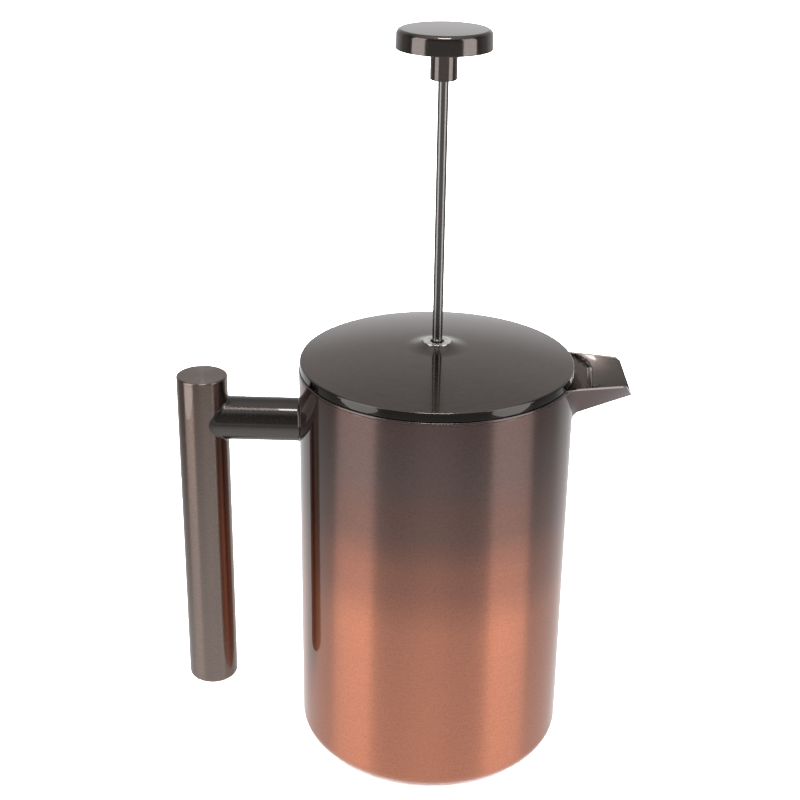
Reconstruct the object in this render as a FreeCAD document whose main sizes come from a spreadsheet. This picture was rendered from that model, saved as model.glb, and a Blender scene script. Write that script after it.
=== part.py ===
import FreeCAD, Part
import math
import os
import Sketcher

# A one litre french press with a double-walled vessel, in millimetres.
# The origin is the centre of the flat base, +Z is up, the spout points along +X and the handle along -X.
# The plunger is drawn up. Every sub-part is its own object, bound to the sizes on the sheet named dims.

SIZES = [
    ("body_dia", 108.0, "outside diameter of the vessel"),
    ("body_height", 162.0, "top of the vessel's rim"),
    ("wall", 1.0, "thickness of the steel sheet"),
    ("base_round", 6.5, "outside radius where the wall turns into the base"),
    ("base_hole_dia", 92.0, "opening in the shell that the base plate closes"),
    ("liner_dia", 98.0, "outside diameter of the inner cup"),
    ("liner_floor", 6.0, "underside of the inner cup's floor"),
    ("liner_round", 7.0, "outside radius at the foot of the inner cup"),
    ("spout_tip_x", 72.8, "where the spout's rims end"),
    ("spout_tip_half", 15.9, "half the spout's width there"),
    ("spout_taper", 0.228, "half width gained for each millimetre towards the axis"),
    ("spout_keel_x", 77.2, "where the spout's keel ends"),
    ("spout_tip_depth", 10.05, "depth of the keel below the rim there"),
    ("spout_slope", 0.42, "depth gained for each millimetre towards the axis"),
    ("spout_corner", 2.0, "radius of the spout's two lip corners"),
    ("handle_x", 92.8, "distance from the vessel's axis to the grip's axis"),
    ("grip_dia", 20.3, "outside diameter of the grip"),
    ("grip_low", 17.7, "height of the grip's lower end"),
    ("grip_high", 156.2, "height of the grip's upper end"),
    ("cap_thick", 1.5, "thickness of the grip's end caps"),
    ("arm_dia", 17.5, "outside diameter of the arm"),
    ("arm_height", 138.0, "height of the arm's axis"),
    ("lid_gap", 0.3, "space between the lid and what it stands on"),
    ("lid_dia", 107.2, "outside diameter of the lid"),
    ("lid_band", 3.6, "height of the lid's side band"),
    ("lid_edge", 0.8, "radius on the band's top edge"),
    ("dome_radius", 263.0, "radius of the lid's dome"),
    ("boss_base", 12.2, "radius of the boss at its foot"),
    ("boss_top", 5.6, "radius of the boss at its flat top"),
    ("boss_rise", 1.7, "height of the boss"),
    ("boss_flare", 20.0, "radius of the boss's hollow flank"),
    ("skirt_dia", 94.6, "outside diameter of the lid's skirt"),
    ("skirt_depth", 9.0, "how far the skirt reaches below the lid's plate"),
    ("slot_width", 3.0, "width of a pouring slot in the skirt"),
    ("slot_height", 5.0, "height of a pouring slot"),
    ("slot_sill", 2.0, "height of the metal left below a pouring slot"),
    ("slot_span", 80.0, "angle that the pouring slots cover, in degrees"),
    ("guide_dia", 7.2, "outside diameter of the rod guide's shank"),
    ("guide_flange", 10.8, "diameter of the rod guide's flange"),
    ("guide_lip", 0.45, "thickness of that flange"),
    ("guide_mouth", 5.5, "diameter of the rod guide's wide mouth"),
    ("mouth_depth", 2.0, "depth of that mouth below the boss's top"),
    ("guide_bore", 4.12, "diameter of the rod guide's running bore"),
    ("guide_low", 158.0, "height of the rod guide's lower end"),
    ("guide_fit", 0.05, "running clearance between the rod guide and the lid"),
    ("rod_dia", 4.0, "diameter of the plunger's rod"),
    ("rod_chamfer", 0.4, "chamfer on the rod's lower end"),
    ("rod_head", 2.0, "how far the rod's upper end stays below the knob"),
    ("collar_dia", 10.0, "diameter of the collar under the knob"),
    ("collar_low", 274.6, "height of the collar's lower end"),
    ("collar_chamfer", 0.3, "chamfer on that end"),
    ("spigot_step", 2.0, "how much smaller the spigot's radius is than the collar's"),
    ("knob_low", 285.8, "height of the knob's lower edge"),
    ("knob_high", 293.0, "height of the knob's flat top"),
    ("knob_low_dia", 35.6, "diameter of the knob's lower edge"),
    ("knob_high_dia", 35.1, "diameter of the knob's side at the top"),
    ("knob_round", 3.2, "radius on the knob's top edge"),
    ("knob_gap", 0.1, "space between the knob's cap and the disc inside it"),
    ("spring_height", 151.2, "height of the edge spring's centre"),
    ("spring_dia", 91.8, "diameter of the edge spring's centre line"),
    ("spring_wire", 3.6, "diameter of the coil"),
    ("plate_sheet", 0.8, "thickness of the spiral plate"),
    ("plate_dish", 1.5, "depth of the spiral plate's dish"),
    ("plate_rim", 7.0, "width of the plate's flat rim, and of the slope inside it"),
    ("plate_hole_dia", 7.0, "diameter of a hole in the spiral plate"),
    ("screen_dia", 95.2, "diameter of the mesh screens"),
    ("screen_sheet", 0.5, "thickness of a mesh screen"),
    ("cross_dia", 86.0, "diameter of the cross plate"),
    ("cross_sheet", 1.0, "thickness of the cross plate"),
    ("cross_hole_dia", 16.0, "diameter of a hole in the cross plate"),
    ("cross_hole_ring", 27.0, "distance of those holes from the axis"),
    ("hub_height", 6.0, "height of the hub under the cross plate"),
    ("hub_dia", 13.0, "diameter of that hub"),
    ("hub_chamfer", 1.0, "chamfer on the hub's lower edge"),
    ("nut_flats", 11.0, "size across the flats of both nuts"),
]

PLATE_HOLES = 8
POURING_SLOTS = 11

# Where the wedges that shape the spout start and end along X. They only have to pass the walls and the lip.
WEDGE_START = "40"
WEDGE_END = "80"
NOTCH_END = "60"
TROUGH_START = "38"
TROUGH_END = "82"
LIP_CUT_REACH = "5"

doc = FreeCAD.newDocument("FrenchPress")
sheet = doc.addObject("Spreadsheet::Sheet", "dims")
for row, (alias, value, meaning) in enumerate(SIZES, start=1):
    sheet.set(f"A{row}", meaning)
    sheet.set(f"B{row}", str(value))
    sheet.setAlias(f"B{row}", alias)
doc.recompute()

# Lengths that several sub-parts share, as expressions on the sheet.
BODY_R = "dims.body_dia / 2"
LINER_R = "dims.liner_dia / 2"
BORE_R = "(dims.liner_dia / 2 - dims.wall)"
FLANGE_LOW = "(dims.body_height - dims.wall)"
GRIP_R = "dims.grip_dia / 2"
LID_R = "dims.lid_dia / 2"
LID_LOW = "(dims.body_height + dims.lid_gap)"
BAND_TOP = "(dims.body_height + dims.lid_gap + dims.lid_band)"
DOME_EDGE_R = "(dims.lid_dia / 2 - dims.lid_edge)"
DOME_Z = f"({BAND_TOP} - sqrt(dims.dome_radius ^ 2 - {DOME_EDGE_R} ^ 2))"
BOSS_LOW = f"({DOME_Z} + sqrt(dims.dome_radius ^ 2 - dims.boss_base ^ 2))"
BOSS_HIGH = f"({BOSS_LOW} + dims.boss_rise)"
GUIDE_HOLE_R = "(dims.guide_dia / 2 + dims.guide_fit)"
ROD_R = "dims.rod_dia / 2"
SPIRAL_LOW = "(dims.spring_height - dims.spring_wire / 2)"
SCREEN_MID = "(dims.spring_height - dims.spring_wire / 2 - dims.screen_sheet)"
SCREEN_LOW = "(dims.spring_height - dims.spring_wire / 2 - 2 * dims.screen_sheet)"
CROSS_LOW = f"({SCREEN_LOW} - dims.cross_sheet)"
HUB_LOW = f"({CROSS_LOW} - dims.hub_height)"
ROD_LOW = f"({HUB_LOW} + dims.wall)"
SOCKET_TOP = "(dims.knob_low - dims.rod_head)"
SPIGOT_R = "(dims.collar_dia / 2 - dims.spigot_step)"


def size(expression):
    """The value of an expression on the sheet."""
    return float(sheet.evalExpression(expression))


def new_body(label):
    body = doc.addObject("PartDesign::Body", label + "_body")
    body.Label = label
    return body


def new_sketch(body, name, plane):
    """A sketch on one of the body's own origin planes."""
    sketch = body.newObject("Sketcher::SketchObject", name)
    origin_plane = [f for f in body.Origin.OriginFeatures if f.Role == plane][0]
    sketch.AttachmentSupport = [(origin_plane, "")]
    sketch.MapMode = "FlatFace"
    sketch.Visibility = False
    return sketch


def bind(sketch, kind, where, expression, name):
    """Adds a dimension to a sketch and ties it to an expression."""
    index = sketch.addConstraint(Sketcher.Constraint(kind, *where, size(expression)))
    sketch.renameConstraint(index, name)
    sketch.setExpression("Constraints." + name, expression)


def arc_between(start, end, radius, side):
    """The shorter arc from start to end; side is 1 if it turns anticlockwise and -1 if clockwise."""
    chord = end - start
    middle = (start + end) * 0.5
    reach = math.sqrt(max(radius ** 2 - (chord.Length / 2) ** 2, 0.0))
    normal = FreeCAD.Vector(-chord.y, chord.x, 0).normalize()
    centre = middle + normal * reach * side
    first, last = (start, end) if side > 0 else (end, start)
    angles = [math.atan2(p.y - centre.y, p.x - centre.x) for p in (first, last)]
    circle = Part.Circle(centre, FreeCAD.Vector(0, 0, 1), radius)
    return Part.ArcOfCircle(circle, *angles)


def draw_outline(sketch, corners, arcs=None):
    """Closes a line through the corners, each a pair of expressions. arcs maps the corner that an arc
    leaves from to its radius and side."""
    arcs = arcs or {}
    places = [FreeCAD.Vector(size(x), size(y), 0) for x, y in corners]
    count = len(places)
    heads = []
    tails = []
    for i, start in enumerate(places):
        end = places[(i + 1) % count]
        if i in arcs:
            radius, side = arcs[i]
            sketch.addGeometry(arc_between(start, end, size(radius), side), False)
        else:
            side = 1
            sketch.addGeometry(Part.LineSegment(start, end), False)
        heads.append(1 if side > 0 else 2)
        tails.append(2 if side > 0 else 1)
    for i in range(count):
        j = (i + 1) % count
        sketch.addConstraint(Sketcher.Constraint("Coincident", i, tails[i], j, heads[j]))
    for i, (x, y) in enumerate(corners):
        if x == "0":
            sketch.addConstraint(Sketcher.Constraint("PointOnObject", i, heads[i], -2))
        else:
            bind(sketch, "DistanceX", (-1, 1, i, heads[i]), x, f"across_{i}")
        if y == "0":
            sketch.addConstraint(Sketcher.Constraint("PointOnObject", i, heads[i], -1))
        else:
            bind(sketch, "DistanceY", (-1, 1, i, heads[i]), y, f"up_{i}")
    for i, (radius, _) in arcs.items():
        bind(sketch, "Radius", (i,), radius, f"round_{i}")


def turn(body, corners, arcs=None):
    """Revolves an outline of radius and height about the body's own Z axis."""
    sketch = new_sketch(body, body.Label + "_profile", "XZ_Plane")
    draw_outline(sketch, corners, arcs)
    feature = body.newObject("PartDesign::Revolution", body.Label + "_turned")
    feature.Profile = sketch
    feature.ReferenceAxis = (sketch, ["V_Axis"])
    feature.Angle = 360
    doc.recompute()


def pocket_through(body, sketch, name):
    """Cuts a sketch right through the body, both ways."""
    feature = body.newObject("PartDesign::Pocket", name)
    feature.Profile = sketch
    feature.Type = "ThroughAll"
    feature.Midplane = True
    doc.recompute()
    return feature


def circle_hole(body, name, centre_x, radius):
    """Cuts an upright round hole whose centre is on the X axis."""
    sketch = new_sketch(body, name + "_circle", "XY_Plane")
    centre = FreeCAD.Vector(size(centre_x), 0, 0)
    sketch.addGeometry(Part.Circle(centre, FreeCAD.Vector(0, 0, 1), size(radius)), False)
    sketch.addConstraint(Sketcher.Constraint("PointOnObject", 0, 3, -1))
    if centre_x == "0":
        sketch.addConstraint(Sketcher.Constraint("PointOnObject", 0, 3, -2))
    elif centre.x < 0:
        bind(sketch, "DistanceX", (0, 3, -1, 1), f"-({centre_x})", "offset")
    else:
        bind(sketch, "DistanceX", (-1, 1, 0, 3), centre_x, "offset")
    bind(sketch, "Radius", (0,), radius, "radius")
    return pocket_through(body, sketch, name)


def repeat_round(body, feature, count, angle):
    """Repeats a cut about the body's Z axis and makes the pattern the body's tip."""
    pattern = body.newObject("PartDesign::PolarPattern", feature.Name + "_ring")
    pattern.Originals = [feature]
    z_axis = [f for f in body.Origin.OriginFeatures if f.Role == "Z_Axis"][0]
    pattern.Axis = (z_axis, [""])
    pattern.Angle = angle
    pattern.Occurrences = count
    body.Tip = pattern
    doc.recompute()
    return pattern


def wedge_section(body, name, x, inset):
    """The spout's triangular section at x. inset is the sheet's thickness for the trough inside it,
    and 0 for its outside."""
    half = f"(dims.spout_tip_half + (dims.spout_tip_x - {x}) * dims.spout_taper)"
    depth = f"(dims.spout_tip_depth + (dims.spout_keel_x - {x}) * dims.spout_slope)"
    slant = f"sqrt({half} ^ 2 + {depth} ^ 2)"
    half_in = f"({half} - {inset} * {slant} / {depth})"
    depth_in = f"({depth} - {inset} * {slant} / {half})"
    sketch = new_sketch(body, name, "YZ_Plane")
    sketch.setExpression(".AttachmentOffset.Base.z", x)
    top = size("dims.body_height")
    left = FreeCAD.Vector(-size(half_in), top, 0)
    right = FreeCAD.Vector(size(half_in), top, 0)
    keel = FreeCAD.Vector(0, top - size(depth_in), 0)
    sketch.addGeometry(Part.LineSegment(left, right), False)
    sketch.addGeometry(Part.LineSegment(right, keel), False)
    sketch.addGeometry(Part.LineSegment(keel, left), False)
    for i in range(3):
        sketch.addConstraint(Sketcher.Constraint("Coincident", i, 2, (i + 1) % 3, 1))
    sketch.addConstraint(Sketcher.Constraint("Symmetric", 0, 1, 0, 2, -2))
    sketch.addConstraint(Sketcher.Constraint("PointOnObject", 1, 2, -2))
    bind(sketch, "DistanceX", (-1, 1, 0, 2), half_in, "half_width")
    bind(sketch, "DistanceY", (-1, 1, 0, 2), "dims.body_height", "rim")
    bind(sketch, "DistanceY", (-1, 1, 1, 2), f"dims.body_height - {depth_in}", "keel")
    return sketch


def wedge(body, kind, name, x_low, x_high, inset):
    """Adds or cuts the wedge between two of the spout's sections."""
    near = wedge_section(body, name + "_near", x_low, inset)
    far = wedge_section(body, name + "_far", x_high, inset)
    doc.recompute()
    loft = body.newObject("PartDesign::" + kind, name)
    loft.Profile = near
    loft.Sections = [far]
    doc.recompute()
    return loft


def make_outer_shell():
    """The outside wall, rounded into a foot ring and notched for the spout."""
    body = new_body("outer_shell")
    turn(
        body,
        [
            (BODY_R, FLANGE_LOW),
            (BODY_R, "dims.base_round"),
            (f"{BODY_R} - dims.base_round", "0"),
            ("dims.base_hole_dia / 2", "0"),
            ("dims.base_hole_dia / 2", "dims.wall"),
            (f"{BODY_R} - dims.base_round", "dims.wall"),
            (f"{BODY_R} - dims.wall", "dims.base_round"),
            (f"{BODY_R} - dims.wall", FLANGE_LOW),
        ],
        {1: ("dims.base_round", -1), 5: ("dims.base_round - dims.wall", 1)},
    )
    wedge(body, "SubtractiveLoft", "shell_notch", WEDGE_START, NOTCH_END, "0")
    return body


def make_inner_liner():
    """The inner cup, whose flange lies on the shell and forms the vessel's rim."""
    body = new_body("inner_liner")
    turn(
        body,
        [
            ("0", "dims.liner_floor"),
            (f"{LINER_R} - dims.liner_round", "dims.liner_floor"),
            (LINER_R, "dims.liner_floor + dims.liner_round"),
            (LINER_R, FLANGE_LOW),
            (BODY_R, FLANGE_LOW),
            (BODY_R, "dims.body_height"),
            (BORE_R, "dims.body_height"),
            (BORE_R, "dims.liner_floor + dims.liner_round"),
            (f"{LINER_R} - dims.liner_round", "dims.liner_floor + dims.wall"),
            ("0", "dims.liner_floor + dims.wall"),
        ],
        {1: ("dims.liner_round", 1), 7: ("dims.liner_round - dims.wall", -1)},
    )
    wedge(body, "SubtractiveLoft", "liner_notch", WEDGE_START, NOTCH_END, "0")
    return body


def make_base_plate():
    """The flat disc that closes the shell from below."""
    body = new_body("base_plate")
    radius = "dims.base_hole_dia / 2"
    turn(body, [("0", "0"), (radius, "0"), (radius, "dims.wall"), ("0", "dims.wall")])
    return body


def make_spout():
    """A V-shaped trough that starts at the liner's bore and ends in a raked lip with round corners."""
    body = new_body("spout")
    wedge(body, "AdditiveLoft", "spout_outside", WEDGE_START, WEDGE_END, "0")
    wedge(body, "SubtractiveLoft", "spout_trough", TROUGH_START, TROUGH_END, "dims.wall")
    circle_hole(body, "spout_root", "0", BORE_R)
    run = "(dims.spout_keel_x - dims.spout_tip_x)"
    drop = "dims.spout_tip_depth"
    rake = f"sqrt({run} ^ 2 + {drop} ^ 2)"
    tangent = f"(dims.spout_corner * ({rake} - {run}) / {drop})"
    beyond = f"dims.spout_keel_x + {LIP_CUT_REACH}"
    lip = new_sketch(body, "spout_lip_cut", "XZ_Plane")
    draw_outline(
        lip,
        [
            (f"dims.spout_tip_x - {tangent}", "dims.body_height"),
            (
                f"dims.spout_tip_x + {tangent} * {run} / {rake}",
                f"dims.body_height - {tangent} * {drop} / {rake}",
            ),
            ("dims.spout_keel_x", f"dims.body_height - {drop}"),
            ("dims.spout_keel_x", f"dims.body_height - 2 * {drop}"),
            (beyond, f"dims.body_height - 2 * {drop}"),
            (beyond, "dims.body_height + 1"),
            (f"dims.spout_tip_x - {tangent}", "dims.body_height + 1"),
        ],
        {0: ("dims.spout_corner", -1)},
    )
    pocket_through(body, lip, "spout_lip")
    return body


def make_handle_grip():
    """The upright tube that the hand holds."""
    body = new_body("handle_grip")
    low = "dims.grip_low + dims.cap_thick"
    high = "dims.grip_high - dims.cap_thick"
    inside = f"{GRIP_R} - dims.wall"
    turn(body, [(inside, low), (GRIP_R, low), (GRIP_R, high), (inside, high)])
    return body


def make_handle_top_cap():
    body = new_body("handle_top_cap")
    low = "dims.grip_high - dims.cap_thick"
    turn(body, [("0", low), (GRIP_R, low), (GRIP_R, "dims.grip_high"), ("0", "dims.grip_high")])
    return body


def make_handle_bottom_cap():
    """A cap with a rounded lower edge."""
    body = new_body("handle_bottom_cap")
    high = "dims.grip_low + dims.cap_thick"
    turn(
        body,
        [
            ("0", "dims.grip_low"),
            (f"{GRIP_R} - dims.cap_thick", "dims.grip_low"),
            (GRIP_R, high),
            ("0", high),
        ],
        {1: ("dims.cap_thick", 1)},
    )
    return body


def make_handle_arm():
    """The level tube between the grip and the vessel, shaped to both round walls."""
    body = new_body("handle_arm")
    ring = new_sketch(body, "arm_ring", "YZ_Plane")
    centre = FreeCAD.Vector(0, size("dims.arm_height"), 0)
    for index, radius in enumerate(("dims.arm_dia / 2", "dims.arm_dia / 2 - dims.wall")):
        ring.addGeometry(Part.Circle(centre, FreeCAD.Vector(0, 0, 1), size(radius)), False)
        ring.addConstraint(Sketcher.Constraint("PointOnObject", index, 3, -2))
        bind(ring, "DistanceY", (-1, 1, index, 3), "dims.arm_height", f"height_{index}")
        bind(ring, "Radius", (index,), radius, f"radius_{index}")
    tube = body.newObject("PartDesign::Pad", "arm_tube")
    tube.Profile = ring
    tube.Reversed = True
    tube.setExpression("Length", "dims.handle_x")
    doc.recompute()
    circle_hole(body, "arm_vessel_end", "0", BODY_R)
    circle_hole(body, "arm_grip_end", "-dims.handle_x", GRIP_R)
    return body


def make_lid_top():
    """The lid's thin domed skin, with the side band below and the boss for the rod in the middle."""
    body = new_body("lid_top")
    inner_dome = "(dims.dome_radius - dims.wall)"
    band_inside = f"({LID_R} - dims.wall)"
    corner_z = f"{DOME_Z} + sqrt({inner_dome} ^ 2 - {band_inside} ^ 2)"
    hub_z = f"{DOME_Z} + sqrt({inner_dome} ^ 2 - {GUIDE_HOLE_R} ^ 2)"
    turn(
        body,
        [
            (LID_R, LID_LOW),
            (LID_R, f"{BAND_TOP} - dims.lid_edge"),
            (DOME_EDGE_R, BAND_TOP),
            ("dims.boss_base", BOSS_LOW),
            ("dims.boss_top", BOSS_HIGH),
            (GUIDE_HOLE_R, BOSS_HIGH),
            (GUIDE_HOLE_R, hub_z),
            (band_inside, corner_z),
            (band_inside, LID_LOW),
        ],
        {
            1: ("dims.lid_edge", 1),
            2: ("dims.dome_radius", 1),
            3: ("dims.boss_flare", -1),
            6: (inner_dome, -1),
        },
    )
    return body


def make_lid_skirt():
    """The lid's lower plate with a skirt that fits into the vessel. Pouring slots cover one side."""
    body = new_body("lid_skirt")
    edge = f"{LID_R} - dims.wall - dims.lid_gap"
    skirt = "dims.skirt_dia / 2"
    low = f"{LID_LOW} - dims.skirt_depth"
    turn(
        body,
        [
            (GUIDE_HOLE_R, LID_LOW),
            (f"{skirt} - dims.wall", LID_LOW),
            (f"{skirt} - dims.wall", low),
            (skirt, low),
            (skirt, LID_LOW),
            (edge, LID_LOW),
            (edge, f"{LID_LOW} + dims.wall"),
            (GUIDE_HOLE_R, f"{LID_LOW} + dims.wall"),
        ],
    )
    window = new_sketch(body, "pouring_slot", "YZ_Plane")
    left = FreeCAD.Vector(-size("dims.slot_width / 2"), size(f"{low} + dims.slot_sill"), 0)
    right = FreeCAD.Vector(-left.x, left.y + size("dims.slot_height"), 0)
    corners = [
        left,
        FreeCAD.Vector(right.x, left.y, 0),
        right,
        FreeCAD.Vector(left.x, right.y, 0),
    ]
    for i in range(4):
        window.addGeometry(Part.LineSegment(corners[i], corners[(i + 1) % 4]), False)
    for i in range(4):
        window.addConstraint(Sketcher.Constraint("Coincident", i, 2, (i + 1) % 4, 1))
    for i, direction in ((1, "Vertical"), (2, "Horizontal"), (3, "Vertical")):
        window.addConstraint(Sketcher.Constraint(direction, i))
    window.addConstraint(Sketcher.Constraint("Symmetric", 0, 1, 0, 2, -2))
    bind(window, "DistanceX", (0, 1, 0, 2), "dims.slot_width", "width")
    bind(window, "DistanceY", (1, 1, 1, 2), "dims.slot_height", "height")
    bind(window, "DistanceY", (-1, 1, 0, 1), f"{low} + dims.slot_sill", "sill")
    slot = body.newObject("PartDesign::Pocket", "pouring_slots")
    slot.Profile = window
    slot.Reversed = True
    slot.setExpression("Length", BODY_R)
    doc.recompute()
    repeat_round(body, slot, POURING_SLOTS, size("dims.slot_span"))
    upright = FreeCAD.Rotation(FreeCAD.Vector(0, 0, 1), 0)
    body.Placement = FreeCAD.Placement(FreeCAD.Vector(), upright)
    body.setExpression(".Placement.Rotation.Angle", "-dims.slot_span / 2")
    doc.recompute()
    return body


def make_rod_guide():
    """The flanged bush that the rod slides and turns in."""
    body = new_body("rod_guide")
    shank = "dims.guide_dia / 2"
    bore = "dims.guide_bore / 2"
    mouth = "dims.guide_mouth / 2"
    under_flange = f"{BOSS_HIGH} + dims.guide_fit"
    top = f"{under_flange} + dims.guide_lip"
    step = f"{BOSS_HIGH} - dims.mouth_depth"
    turn(
        body,
        [
            (bore, "dims.guide_low"),
            (shank, "dims.guide_low"),
            (shank, under_flange),
            ("dims.guide_flange / 2", under_flange),
            ("dims.guide_flange / 2", top),
            (mouth, top),
            (mouth, step),
            (bore, f"{step} - ({mouth} - {bore})"),
        ],
    )
    return body


def make_hex_nut(label, low, height, bore_radius):
    """A six-sided nut with a plain bore, standing on the height low."""
    block = doc.addObject("Part::Prism", label + "_block")
    block.Polygon = 6
    block.setExpression("Circumradius", "dims.nut_flats / sqrt(3)")
    block.setExpression("Height", height)
    block.setExpression(".Placement.Base.z", low)
    hole = doc.addObject("Part::Cylinder", label + "_bore")
    hole.setExpression("Radius", bore_radius)
    hole.setExpression("Height", height)
    hole.setExpression(".Placement.Base.z", low)
    nut = doc.addObject("Part::Cut", label + "_cut")
    nut.Base = block
    nut.Tool = hole
    nut.Label = label
    doc.recompute()
    return nut


def make_plunger_rod():
    """The plain rod, with a small chamfer on its lower end."""
    body = new_body("plunger_rod")
    turn(
        body,
        [
            ("0", ROD_LOW),
            (f"{ROD_R} - dims.rod_chamfer", ROD_LOW),
            (ROD_R, f"{ROD_LOW} + dims.rod_chamfer"),
            (ROD_R, SOCKET_TOP),
            ("0", SOCKET_TOP),
        ],
    )
    return body


def make_knob_collar():
    """The collar that takes the rod from below and carries the knob on a short spigot."""
    body = new_body("knob_collar")
    collar = "dims.collar_dia / 2"
    turn(
        body,
        [
            (ROD_R, "dims.collar_low"),
            (f"{collar} - dims.collar_chamfer", "dims.collar_low"),
            (collar, "dims.collar_low + dims.collar_chamfer"),
            (collar, "dims.knob_low"),
            (SPIGOT_R, "dims.knob_low"),
            (SPIGOT_R, "dims.knob_low + dims.wall"),
            ("0", "dims.knob_low + dims.wall"),
            ("0", SOCKET_TOP),
            (ROD_R, SOCKET_TOP),
        ],
    )
    return body


def make_knob_base():
    """The disc that closes the knob from below."""
    body = new_body("knob_base")
    edge = "dims.knob_low_dia / 2 - dims.wall - dims.knob_gap"
    high = "dims.knob_low + dims.wall"
    turn(body, [(SPIGOT_R, "dims.knob_low"), (edge, "dims.knob_low"), (edge, high), (SPIGOT_R, high)])
    return body


def make_knob_cap():
    """The knob's hollow cap, a little wider at the bottom, with a round top edge."""
    body = new_body("knob_cap")
    low_r = "dims.knob_low_dia / 2"
    high_r = "dims.knob_high_dia / 2"
    shoulder = "dims.knob_high - dims.knob_round"
    turn(
        body,
        [
            (low_r, "dims.knob_low"),
            (high_r, shoulder),
            (f"{high_r} - dims.knob_round", "dims.knob_high"),
            ("0", "dims.knob_high"),
            ("0", "dims.knob_high - dims.wall"),
            (f"{high_r} - dims.knob_round", "dims.knob_high - dims.wall"),
            (f"{high_r} - dims.wall", shoulder),
            (f"{low_r} - dims.wall", "dims.knob_low"),
        ],
        {1: ("dims.knob_round", 1), 5: ("dims.knob_round - dims.wall", -1)},
    )
    return body


def make_spiral_plate():
    """The dished disc inside the edge spring, with a ring of round holes."""
    body = new_body("spiral_plate")
    edge = "(dims.spring_dia / 2 - dims.spring_wire / 2)"
    rim_inside = f"{edge} - dims.plate_rim"
    slope_inside = f"{edge} - 2 * dims.plate_rim"
    rim_low = f"{SPIRAL_LOW} + dims.plate_dish"
    turn(
        body,
        [
            (ROD_R, SPIRAL_LOW),
            (slope_inside, SPIRAL_LOW),
            (rim_inside, rim_low),
            (edge, rim_low),
            (edge, f"{rim_low} + dims.plate_sheet"),
            (rim_inside, f"{rim_low} + dims.plate_sheet"),
            (slope_inside, f"{SPIRAL_LOW} + dims.plate_sheet"),
            (ROD_R, f"{SPIRAL_LOW} + dims.plate_sheet"),
        ],
    )
    hole = circle_hole(body, "spiral_plate_hole", f"{edge} / 2", "dims.plate_hole_dia / 2")
    repeat_round(body, hole, PLATE_HOLES, 360)
    return body


def make_edge_spring():
    """The coil round the spiral plate that wipes the vessel's wall, as a plain ring of its outside size."""
    ring = doc.addObject("Part::Torus", "edge_spring_ring")
    ring.setExpression("Radius1", "dims.spring_dia / 2")
    ring.setExpression("Radius2", "dims.spring_wire / 2")
    ring.setExpression(".Placement.Base.z", "dims.spring_height")
    ring.Label = "edge_spring"
    doc.recompute()
    return ring


def make_mesh_screen(label, low):
    """A thin woven screen, as a plain disc of its outside size."""
    body = new_body(label)
    edge = "dims.screen_dia / 2"
    high = f"{low} + dims.screen_sheet"
    turn(body, [(ROD_R, low), (edge, low), (edge, high), (ROD_R, high)])
    return body


def make_cross_plate():
    """The bottom disc that presses the screens up, with large round holes."""
    body = new_body("cross_plate")
    edge = "dims.cross_dia / 2"
    turn(body, [(ROD_R, CROSS_LOW), (edge, CROSS_LOW), (edge, SCREEN_LOW), (ROD_R, SCREEN_LOW)])
    hole = circle_hole(body, "cross_plate_hole", "dims.cross_hole_ring", "dims.cross_hole_dia / 2")
    repeat_round(body, hole, PLATE_HOLES, 360)
    return body


def make_filter_hub():
    """The round hub that screws onto the rod's lower end and holds the filter together."""
    body = new_body("filter_hub")
    radius = "dims.hub_dia / 2"
    turn(
        body,
        [
            ("0", HUB_LOW),
            (f"{radius} - dims.hub_chamfer", HUB_LOW),
            (radius, f"{HUB_LOW} + dims.hub_chamfer"),
            (radius, CROSS_LOW),
            (ROD_R, CROSS_LOW),
            (ROD_R, f"{ROD_LOW} + dims.rod_chamfer"),
            (f"{ROD_R} - dims.rod_chamfer", ROD_LOW),
            ("0", ROD_LOW),
        ],
    )
    return body


parts = [
    make_outer_shell(),
    make_inner_liner(),
    make_base_plate(),
    make_spout(),
    make_handle_arm(),
    make_handle_grip(),
    make_handle_top_cap(),
    make_handle_bottom_cap(),
    make_lid_top(),
    make_lid_skirt(),
    make_rod_guide(),
    make_hex_nut(
        "guide_nut",
        "dims.guide_low",
        "dims.body_height - dims.guide_low",
        "dims.guide_dia / 2",
    ),
    make_plunger_rod(),
    make_knob_collar(),
    make_knob_base(),
    make_knob_cap(),
    make_hex_nut(
        "stop_nut",
        f"{SPIRAL_LOW} + dims.plate_sheet",
        f"dims.guide_low - dims.lid_gap - {SPIRAL_LOW} - dims.plate_sheet",
        ROD_R,
    ),
    make_spiral_plate(),
    make_edge_spring(),
    make_mesh_screen("mesh_screen_upper", SCREEN_MID),
    make_mesh_screen("mesh_screen_lower", SCREEN_LOW),
    make_cross_plate(),
    make_filter_hub(),
]

# The grip and its caps are turned about their own axis, which stands beside the vessel.
for part in parts:
    if part.Label in ("handle_grip", "handle_top_cap", "handle_bottom_cap"):
        part.setExpression(".Placement.Base.x", "-dims.handle_x")
doc.recompute()

faults = [o.Name for o in doc.Objects if "Invalid" in o.State or "Error" in o.State]
faults += [p.Label for p in parts if p.Shape.isNull() or not p.Shape.isValid() or not p.Shape.Solids]
if faults:
    raise RuntimeError("these objects failed: " + ", ".join(faults))

os.makedirs("parts", exist_ok=True)
for part in parts:
    part.Shape.exportStep(f"parts/{part.Label}.step")
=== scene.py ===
import math

import bmesh
import bpy
from mathutils import Matrix, Vector


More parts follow.
